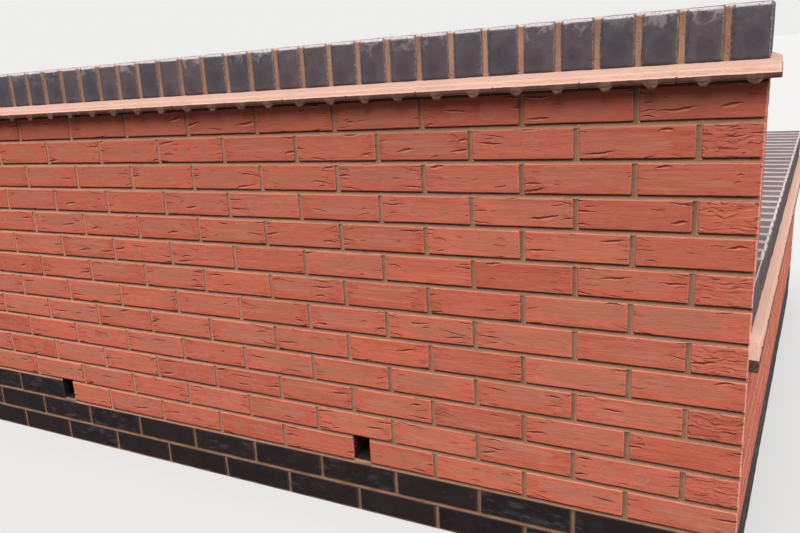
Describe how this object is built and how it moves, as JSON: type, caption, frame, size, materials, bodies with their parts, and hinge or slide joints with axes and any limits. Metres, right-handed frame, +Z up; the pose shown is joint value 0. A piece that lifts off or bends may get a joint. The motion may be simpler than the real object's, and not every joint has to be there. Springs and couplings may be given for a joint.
{
  "type": "corner length of brick garden wall with a low return",
  "caption": "L-shaped one-brick garden wall of red facing brick on a blue brick plinth, with drain slots, a tile creasing and a brick-on-edge coping.",
  "frame": {"origin": "middle of the front wall's foot, on the level that it rests on", "axes": "+X along the front wall to its right corner, +Y from its front face to the return behind it, +Z up"},
  "size_m": [4.855, 2.2939, 1.2625],
  "materials": {
    "red_facing_brick": "rough creased stock brick with sand-coloured joints",
    "blue_engineering_brick": "smooth dense fired brick, satin",
    "clay_tile": "smooth weathered clay",
    "weathered_mortar": "trowelled mortar, pale salmon",
    "mortar": "sand and cement, slightly recessed"
  },
  "bodies": {
    "root": {"front_backing_lower": "red_facing_brick", "front_backing_upper": "red_facing_brick", "front_collar_joint": "mortar", "front_coping_band": "weathered_mortar", "front_coping_bricks": "blue_engineering_brick", "front_coping_joints": "mortar", "front_creasing_bed": "mortar", "front_creasing_tiles": "clay_tile", "front_facing_lower": "red_facing_brick", "front_facing_upper": "red_facing_brick", "front_plinth_inner": "blue_engineering_brick", "front_plinth_outer": "blue_engineering_brick", "return_backing": "red_facing_brick", "return_collar_joint": "mortar", "return_coping_band": "weathered_mortar", "return_coping_bricks": "blue_engineering_brick", "return_coping_joints": "mortar", "return_creasing_levelling_bed": "mortar", "return_creasing_middle_bed": "mortar", "return_creasing_tiles_lower": "clay_tile", "return_creasing_tiles_upper": "clay_tile", "return_facing": "red_facing_brick", "return_plinth_inner": "blue_engineering_brick", "return_plinth_outer": "blue_engineering_brick", "slot_course_inner_1": "red_facing_brick", "slot_course_inner_2": "red_facing_brick", "slot_course_inner_3": "blue_engineering_brick", "slot_course_inner_4": "blue_engineering_brick", "slot_course_inner_5": "blue_engineering_brick", "slot_course_outer_1": "red_facing_brick", "slot_course_outer_2": "red_facing_brick", "slot_course_outer_3": "blue_engineering_brick", "slot_course_outer_4": "blue_engineering_brick", "slot_course_outer_5": "blue_engineering_brick"}
  },
  "joints": []
}
